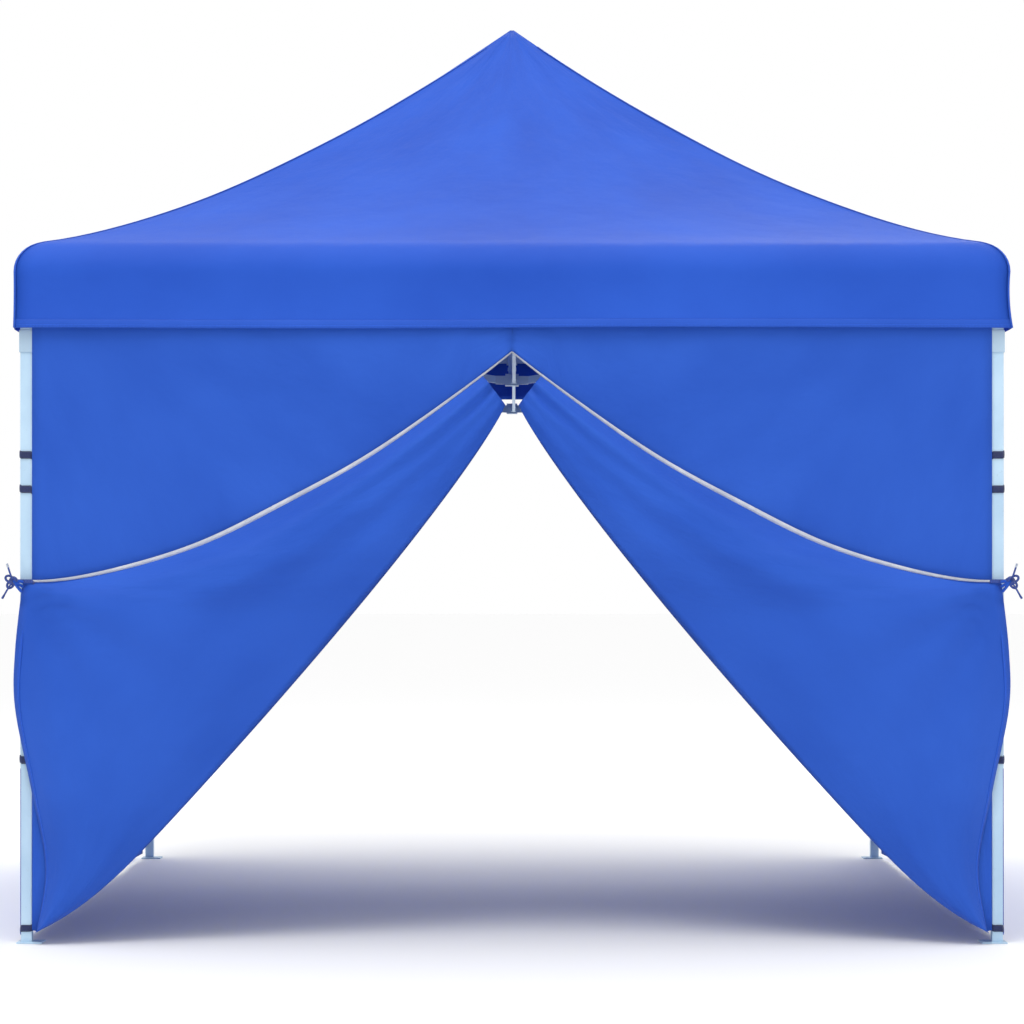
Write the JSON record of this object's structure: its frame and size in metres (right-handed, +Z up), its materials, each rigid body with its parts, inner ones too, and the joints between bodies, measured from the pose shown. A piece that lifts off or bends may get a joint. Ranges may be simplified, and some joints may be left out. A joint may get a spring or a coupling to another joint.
{
  "type": "pop up canopy",
  "caption": "Square pop-up canopy: folding scissor-truss frame on telescopic legs, peaked fabric roof with valance, plain side walls and tied-back front door flaps.",
  "frame": {"origin": "centre of the four foot plates, at floor level", "axes": "+Z up, the open front faces -Y, +X to the right as seen from the front"},
  "size_m": [2.952, 2.952, 3.01],
  "materials": {
    "roof_fabric": "coated polyester, slight sheen",
    "wall_fabric": "coated polyester, slight sheen",
    "frame_steel": "powder coat, satin",
    "joint_plastic": "moulded nylon, fine texture",
    "button_plastic": "moulded, satin",
    "trim_tape": "woven tape, matt",
    "strap": "hook and loop webbing, matt"
  },
  "bodies": {
    "peak_hub": {"peak_hub": "joint_plastic", "canopy_top": "roof_fabric"},
    "rafter_upper_front": {"rafter_upper_front": "frame_steel"},
    "rafter_lower_front": {"rafter_lower_front": "frame_steel"},
    "side_top_joint_front": {"side_top_joint_front": "joint_plastic"},
    "side_bottom_joint_front": {"side_bottom_joint_front": "joint_plastic"},
    "fall_bar_front_a": {"fall_bar_front_a": "frame_steel"},
    "rise_bar_front_a": {"rise_bar_front_a": "frame_steel"},
    "upper_leg_front_left": {"upper_leg_front_left": "frame_steel", "corner_bracket_front_left": "joint_plastic", "front_wall_left": "wall_fabric", "side_wall_left": "wall_fabric"},
    "leg_slider_front_left": {"leg_slider_front_left": "joint_plastic"},
    "fall_bar_front_b": {"fall_bar_front_b": "frame_steel"},
    "rise_bar_front_b": {"rise_bar_front_b": "frame_steel"},
    "upper_leg_front_right": {"upper_leg_front_right": "frame_steel", "corner_bracket_front_right": "joint_plastic", "front_wall_right": "wall_fabric", "side_wall_right": "wall_fabric"},
    "leg_slider_front_right": {"leg_slider_front_right": "joint_plastic"},
    "rafter_upper_right": {"rafter_upper_right": "frame_steel"},
    "rafter_lower_right": {"rafter_lower_right": "frame_steel"},
    "side_top_joint_right": {"side_top_joint_right": "joint_plastic"},
    "side_bottom_joint_right": {"side_bottom_joint_right": "joint_plastic"},
    "fall_bar_right_a": {"fall_bar_right_a": "frame_steel"},
    "rise_bar_right_a": {"rise_bar_right_a": "frame_steel"},
    "fall_bar_right_b": {"fall_bar_right_b": "frame_steel"},
    "rise_bar_right_b": {"rise_bar_right_b": "frame_steel"},
    "rafter_upper_back": {"rafter_upper_back": "frame_steel"},
    "rafter_lower_back": {"rafter_lower_back": "frame_steel"},
    "side_top_joint_back": {"side_top_joint_back": "joint_plastic"},
    "side_bottom_joint_back": {"side_bottom_joint_back": "joint_plastic"},
    "fall_bar_back_a": {"fall_bar_back_a": "frame_steel"},
    "rise_bar_back_a": {"rise_bar_back_a": "frame_steel"},
    "upper_leg_back_right": {"upper_leg_back_right": "frame_steel", "corner_bracket_back_right": "joint_plastic"},
    "leg_slider_back_right": {"leg_slider_back_right": "joint_plastic"},
    "fall_bar_back_b": {"fall_bar_back_b": "frame_steel"},
    "rise_bar_back_b": {"rise_bar_back_b": "frame_steel"},
    "upper_leg_back_left": {"upper_leg_back_left": "frame_steel", "corner_bracket_back_left": "joint_plastic"},
    "leg_slider_back_left": {"leg_slider_back_left": "joint_plastic"},
    "rafter_upper_left": {"rafter_upper_left": "frame_steel"},
    "rafter_lower_left": {"rafter_lower_left": "frame_steel"},
    "side_top_joint_left": {"side_top_joint_left": "joint_plastic"},
    "side_bottom_joint_left": {"side_bottom_joint_left": "joint_plastic"},
    "fall_bar_left_a": {"fall_bar_left_a": "frame_steel"},
    "rise_bar_left_a": {"rise_bar_left_a": "frame_steel"},
    "fall_bar_left_b": {"fall_bar_left_b": "frame_steel"},
    "rise_bar_left_b": {"rise_bar_left_b": "frame_steel"},
    "lower_hub": {"lower_hub": "joint_plastic"},
    "peak_pole": {"peak_pole": "frame_steel"},
    "lower_leg_front_left": {"lower_leg_front_left": "frame_steel"},
    "slider_button_front_left": {"slider_button_front_left": "button_plastic"},
    "lower_leg_front_right": {"lower_leg_front_right": "frame_steel"},
    "slider_button_front_right": {"slider_button_front_right": "button_plastic"},
    "lower_leg_back_right": {"lower_leg_back_right": "frame_steel"},
    "slider_button_back_right": {"slider_button_back_right": "button_plastic"},
    "lower_leg_back_left": {"lower_leg_back_left": "frame_steel"},
    "slider_button_back_left": {"slider_button_back_left": "button_plastic"}
  },
  "joints": [
    {"name": "fold", "type": "hinge", "parent": "peak_hub", "child": "rafter_upper_front", "pos_m": [-0.007, -0.045, 1.985], "axis": [1, 0, 0], "range_deg": [0, 78], "deforming": ["front_wall_left", "front_wall_right", "side_wall_left", "side_wall_right", "canopy_top"]},
    {"name": "rafter_lower_front_hinge", "type": "hinge", "parent": "rafter_upper_front", "child": "rafter_lower_front", "pos_m": [0, -0.722, 1.8875], "axis": [1, 0, 0], "range_deg": [-156, 0]},
    {"name": "side_top_joint_front_hinge", "type": "hinge", "parent": "rafter_lower_front", "child": "side_top_joint_front", "pos_m": [0.007, -1.399, 1.985], "axis": [1, 0, 0], "range_deg": [0, 78]},
    {"name": "side_bottom_joint_front_hinge", "type": "hinge", "parent": "rafter_upper_front", "child": "side_bottom_joint_front", "pos_m": [-0.007, -1.399, 1.79], "axis": [1, 0, 0], "range_deg": [-78, 0]},
    {"name": "fall_bar_front_a_hinge", "type": "hinge", "parent": "side_top_joint_front", "child": "fall_bar_front_a", "pos_m": [-0.045, -1.437, 1.985], "axis": [0, -1, 0], "range_deg": [0, 78]},
    {"name": "rise_bar_front_a_hinge", "type": "hinge", "parent": "side_bottom_joint_front", "child": "rise_bar_front_a", "pos_m": [-0.045, -1.451, 1.79], "axis": [0, -1, 0], "range_deg": [-78, 0]},
    {"name": "upper_leg_front_left_hinge", "type": "hinge", "parent": "rise_bar_front_a", "child": "upper_leg_front_left", "pos_m": [-1.399, -1.451, 1.985], "axis": [0, -1, 0], "range_deg": [0, 78]},
    {"name": "leg_slider_front_left_hinge", "type": "hinge", "parent": "fall_bar_front_a", "child": "leg_slider_front_left", "pos_m": [-1.399, -1.437, 1.79], "axis": [0, -1, 0], "range_deg": [-78, 0]},
    {"name": "fall_bar_front_b_hinge", "type": "hinge", "parent": "side_top_joint_front", "child": "fall_bar_front_b", "pos_m": [0.045, -1.437, 1.985], "axis": [0, 1, 0], "range_deg": [0, 78]},
    {"name": "rise_bar_front_b_hinge", "type": "hinge", "parent": "side_bottom_joint_front", "child": "rise_bar_front_b", "pos_m": [0.045, -1.451, 1.79], "axis": [0, 1, 0], "range_deg": [-78, 0]},
    {"name": "upper_leg_front_right_hinge", "type": "hinge", "parent": "rise_bar_front_b", "child": "upper_leg_front_right", "pos_m": [1.399, -1.451, 1.985], "axis": [0, 1, 0], "range_deg": [0, 78]},
    {"name": "leg_slider_front_right_hinge", "type": "hinge", "parent": "fall_bar_front_b", "child": "leg_slider_front_right", "pos_m": [1.399, -1.437, 1.79], "axis": [0, 1, 0], "range_deg": [-78, 0]},
    {"name": "rafter_upper_right_hinge", "type": "hinge", "parent": "peak_hub", "child": "rafter_upper_right", "pos_m": [0.045, -0.007, 1.985], "axis": [0, 1, 0], "range_deg": [0, 78]},
    {"name": "rafter_lower_right_hinge", "type": "hinge", "parent": "rafter_upper_right", "child": "rafter_lower_right", "pos_m": [0.722, 0, 1.8875], "axis": [0, 1, 0], "range_deg": [-156, 0]},
    {"name": "side_top_joint_right_hinge", "type": "hinge", "parent": "rafter_lower_right", "child": "side_top_joint_right", "pos_m": [1.399, 0.007, 1.985], "axis": [0, 1, 0], "range_deg": [0, 78]},
    {"name": "side_bottom_joint_right_hinge", "type": "hinge", "parent": "rafter_upper_right", "child": "side_bottom_joint_right", "pos_m": [1.399, -0.007, 1.79], "axis": [0, 1, 0], "range_deg": [-78, 0]},
    {"name": "fall_bar_right_a_hinge", "type": "hinge", "parent": "side_top_joint_right", "child": "fall_bar_right_a", "pos_m": [1.437, -0.045, 1.985], "axis": [1, 0, 0], "range_deg": [0, 78]},
    {"name": "rise_bar_right_a_hinge", "type": "hinge", "parent": "side_bottom_joint_right", "child": "rise_bar_right_a", "pos_m": [1.451, -0.045, 1.79], "axis": [1, 0, 0], "range_deg": [-78, 0]},
    {"name": "fall_bar_right_b_hinge", "type": "hinge", "parent": "side_top_joint_right", "child": "fall_bar_right_b", "pos_m": [1.437, 0.045, 1.985], "axis": [-1, 0, 0], "range_deg": [0, 78]},
    {"name": "rise_bar_right_b_hinge", "type": "hinge", "parent": "side_bottom_joint_right", "child": "rise_bar_right_b", "pos_m": [1.451, 0.045, 1.79], "axis": [-1, 0, 0], "range_deg": [-78, 0]},
    {"name": "rafter_upper_back_hinge", "type": "hinge", "parent": "peak_hub", "child": "rafter_upper_back", "pos_m": [0.007, 0.045, 1.985], "axis": [-1, 0, 0], "range_deg": [0, 78]},
    {"name": "rafter_lower_back_hinge", "type": "hinge", "parent": "rafter_upper_back", "child": "rafter_lower_back", "pos_m": [0, 0.722, 1.8875], "axis": [-1, 0, 0], "range_deg": [-156, 0]},
    {"name": "side_top_joint_back_hinge", "type": "hinge", "parent": "rafter_lower_back", "child": "side_top_joint_back", "pos_m": [-0.007, 1.399, 1.985], "axis": [-1, 0, 0], "range_deg": [0, 78]},
    {"name": "side_bottom_joint_back_hinge", "type": "hinge", "parent": "rafter_upper_back", "child": "side_bottom_joint_back", "pos_m": [0.007, 1.399, 1.79], "axis": [-1, 0, 0], "range_deg": [-78, 0]},
    {"name": "fall_bar_back_a_hinge", "type": "hinge", "parent": "side_top_joint_back", "child": "fall_bar_back_a", "pos_m": [0.045, 1.437, 1.985], "axis": [0, 1, 0], "range_deg": [0, 78]},
    {"name": "rise_bar_back_a_hinge", "type": "hinge", "parent": "side_bottom_joint_back", "child": "rise_bar_back_a", "pos_m": [0.045, 1.451, 1.79], "axis": [0, 1, 0], "range_deg": [-78, 0]},
    {"name": "upper_leg_back_right_hinge", "type": "hinge", "parent": "rise_bar_back_a", "child": "upper_leg_back_right", "pos_m": [1.399, 1.451, 1.985], "axis": [0, 1, 0], "range_deg": [0, 78]},
    {"name": "leg_slider_back_right_hinge", "type": "hinge", "parent": "fall_bar_back_a", "child": "leg_slider_back_right", "pos_m": [1.399, 1.437, 1.79], "axis": [0, 1, 0], "range_deg": [-78, 0]},
    {"name": "fall_bar_back_b_hinge", "type": "hinge", "parent": "side_top_joint_back", "child": "fall_bar_back_b", "pos_m": [-0.045, 1.437, 1.985], "axis": [0, -1, 0], "range_deg": [0, 78]},
    {"name": "rise_bar_back_b_hinge", "type": "hinge", "parent": "side_bottom_joint_back", "child": "rise_bar_back_b", "pos_m": [-0.045, 1.451, 1.79], "axis": [0, -1, 0], "range_deg": [-78, 0]},
    {"name": "upper_leg_back_left_hinge", "type": "hinge", "parent": "rise_bar_back_b", "child": "upper_leg_back_left", "pos_m": [-1.399, 1.451, 1.985], "axis": [0, -1, 0], "range_deg": [0, 78]},
    {"name": "leg_slider_back_left_hinge", "type": "hinge", "parent": "fall_bar_back_b", "child": "leg_slider_back_left", "pos_m": [-1.399, 1.437, 1.79], "axis": [0, -1, 0], "range_deg": [-78, 0]},
    {"name": "rafter_upper_left_hinge", "type": "hinge", "parent": "peak_hub", "child": "rafter_upper_left", "pos_m": [-0.045, 0.007, 1.985], "axis": [0, -1, 0], "range_deg": [0, 78]},
    {"name": "rafter_lower_left_hinge", "type": "hinge", "parent": "rafter_upper_left", "child": "rafter_lower_left", "pos_m": [-0.722, 0, 1.8875], "axis": [0, -1, 0], "range_deg": [-156, 0]},
    {"name": "side_top_joint_left_hinge", "type": "hinge", "parent": "rafter_lower_left", "child": "side_top_joint_left", "pos_m": [-1.399, -0.007, 1.985], "axis": [0, -1, 0], "range_deg": [0, 78]},
    {"name": "side_bottom_joint_left_hinge", "type": "hinge", "parent": "rafter_upper_left", "child": "side_bottom_joint_left", "pos_m": [-1.399, 0.007, 1.79], "axis": [0, -1, 0], "range_deg": [-78, 0]},
    {"name": "fall_bar_left_a_hinge", "type": "hinge", "parent": "side_top_joint_left", "child": "fall_bar_left_a", "pos_m": [-1.437, 0.045, 1.985], "axis": [-1, 0, 0], "range_deg": [0, 78]},
    {"name": "rise_bar_left_a_hinge", "type": "hinge", "parent": "side_bottom_joint_left", "child": "rise_bar_left_a", "pos_m": [-1.451, 0.045, 1.79], "axis": [-1, 0, 0], "range_deg": [-78, 0]},
    {"name": "fall_bar_left_b_hinge", "type": "hinge", "parent": "side_top_joint_left", "child": "fall_bar_left_b", "pos_m": [-1.437, -0.045, 1.985], "axis": [1, 0, 0], "range_deg": [0, 78]},
    {"name": "rise_bar_left_b_hinge", "type": "hinge", "parent": "side_bottom_joint_left", "child": "rise_bar_left_b", "pos_m": [-1.451, -0.045, 1.79], "axis": [1, 0, 0], "range_deg": [-78, 0]},
    {"name": "pole_slide", "type": "slide", "parent": "peak_hub", "child": "peak_pole", "axis": [0, 0, -1], "range_m": [0, 0.95]},
    {"name": "lower_hub_hinge", "type": "hinge", "parent": "rafter_lower_front", "child": "lower_hub", "pos_m": [0.007, -0.045, 1.79], "axis": [1, 0, 0], "range_deg": [0, 78]},
    {"name": "leg_height_front_left", "type": "slide", "parent": "upper_leg_front_left", "child": "lower_leg_front_left", "axis": [0, 0, 1], "range_m": [0, 0.4]},
    {"name": "slider_button_front_left_press", "type": "slide", "parent": "leg_slider_front_left", "child": "slider_button_front_left", "axis": [-0.7071, -0.7071, 0], "range_m": [0, 0.004], "stiffness_N_per_m": 400, "springref_m": -0.002},
    {"name": "leg_height_front_right", "type": "slide", "parent": "upper_leg_front_right", "child": "lower_leg_front_right", "axis": [0, 0, 1], "range_m": [0, 0.4]},
    {"name": "slider_button_front_right_press", "type": "slide", "parent": "leg_slider_front_right", "child": "slider_button_front_right", "axis": [0.7071, -0.7071, 0], "range_m": [0, 0.004], "stiffness_N_per_m": 400, "springref_m": -0.002},
    {"name": "leg_height_back_right", "type": "slide", "parent": "upper_leg_back_right", "child": "lower_leg_back_right", "axis": [0, 0, 1], "range_m": [0, 0.4]},
    {"name": "slider_button_back_right_press", "type": "slide", "parent": "leg_slider_back_right", "child": "slider_button_back_right", "axis": [0.7071, 0.7071, 0], "range_m": [0, 0.004], "stiffness_N_per_m": 400, "springref_m": -0.002},
    {"name": "leg_height_back_left", "type": "slide", "parent": "upper_leg_back_left", "child": "lower_leg_back_left", "axis": [0, 0, 1], "range_m": [0, 0.4]},
    {"name": "slider_button_back_left_press", "type": "slide", "parent": "leg_slider_back_left", "child": "slider_button_back_left", "axis": [-0.7071, 0.7071, 0], "range_m": [0, 0.004], "stiffness_N_per_m": 400, "springref_m": -0.002}
  ],
  "couplings": [
    {"joint": "rafter_lower_front_hinge", "follows": "fold", "ratio": -2},
    {"joint": "side_top_joint_front_hinge", "follows": "fold", "ratio": 1},
    {"joint": "side_bottom_joint_front_hinge", "follows": "fold", "ratio": -1},
    {"joint": "fall_bar_front_a_hinge", "follows": "fold", "ratio": 1},
    {"joint": "rise_bar_front_a_hinge", "follows": "fold", "ratio": -1},
    {"joint": "upper_leg_front_left_hinge", "follows": "fold", "ratio": 1},
    {"joint": "leg_slider_front_left_hinge", "follows": "fold", "ratio": -1},
    {"joint": "fall_bar_front_b_hinge", "follows": "fold", "ratio": 1},
    {"joint": "rise_bar_front_b_hinge", "follows": "fold", "ratio": -1},
    {"joint": "upper_leg_front_right_hinge", "follows": "fold", "ratio": 1},
    {"joint": "leg_slider_front_right_hinge", "follows": "fold", "ratio": -1},
    {"joint": "rafter_upper_right_hinge", "follows": "fold", "ratio": 1},
    {"joint": "rafter_lower_right_hinge", "follows": "fold", "ratio": -2},
    {"joint": "side_top_joint_right_hinge", "follows": "fold", "ratio": 1},
    {"joint": "side_bottom_joint_right_hinge", "follows": "fold", "ratio": -1},
    {"joint": "fall_bar_right_a_hinge", "follows": "fold", "ratio": 1},
    {"joint": "rise_bar_right_a_hinge", "follows": "fold", "ratio": -1},
    {"joint": "fall_bar_right_b_hinge", "follows": "fold", "ratio": 1},
    {"joint": "rise_bar_right_b_hinge", "follows": "fold", "ratio": -1},
    {"joint": "rafter_upper_back_hinge", "follows": "fold", "ratio": 1},
    {"joint": "rafter_lower_back_hinge", "follows": "fold", "ratio": -2},
    {"joint": "side_top_joint_back_hinge", "follows": "fold", "ratio": 1},
    {"joint": "side_bottom_joint_back_hinge", "follows": "fold", "ratio": -1},
    {"joint": "fall_bar_back_a_hinge", "follows": "fold", "ratio": 1},
    {"joint": "rise_bar_back_a_hinge", "follows": "fold", "ratio": -1},
    {"joint": "upper_leg_back_right_hinge", "follows": "fold", "ratio": 1},
    {"joint": "leg_slider_back_right_hinge", "follows": "fold", "ratio": -1},
    {"joint": "fall_bar_back_b_hinge", "follows": "fold", "ratio": 1},
    {"joint": "rise_bar_back_b_hinge", "follows": "fold", "ratio": -1},
    {"joint": "upper_leg_back_left_hinge", "follows": "fold", "ratio": 1},
    {"joint": "leg_slider_back_left_hinge", "follows": "fold", "ratio": -1},
    {"joint": "rafter_upper_left_hinge", "follows": "fold", "ratio": 1},
    {"joint": "rafter_lower_left_hinge", "follows": "fold", "ratio": -2},
    {"joint": "side_top_joint_left_hinge", "follows": "fold", "ratio": 1},
    {"joint": "side_bottom_joint_left_hinge", "follows": "fold", "ratio": -1},
    {"joint": "fall_bar_left_a_hinge", "follows": "fold", "ratio": 1},
    {"joint": "rise_bar_left_a_hinge", "follows": "fold", "ratio": -1},
    {"joint": "fall_bar_left_b_hinge", "follows": "fold", "ratio": 1},
    {"joint": "rise_bar_left_b_hinge", "follows": "fold", "ratio": -1},
    {"joint": "pole_slide", "follows": "fold", "m_per_rad": 0.6978},
    {"joint": "lower_hub_hinge", "follows": "fold", "ratio": 1}
  ]
}
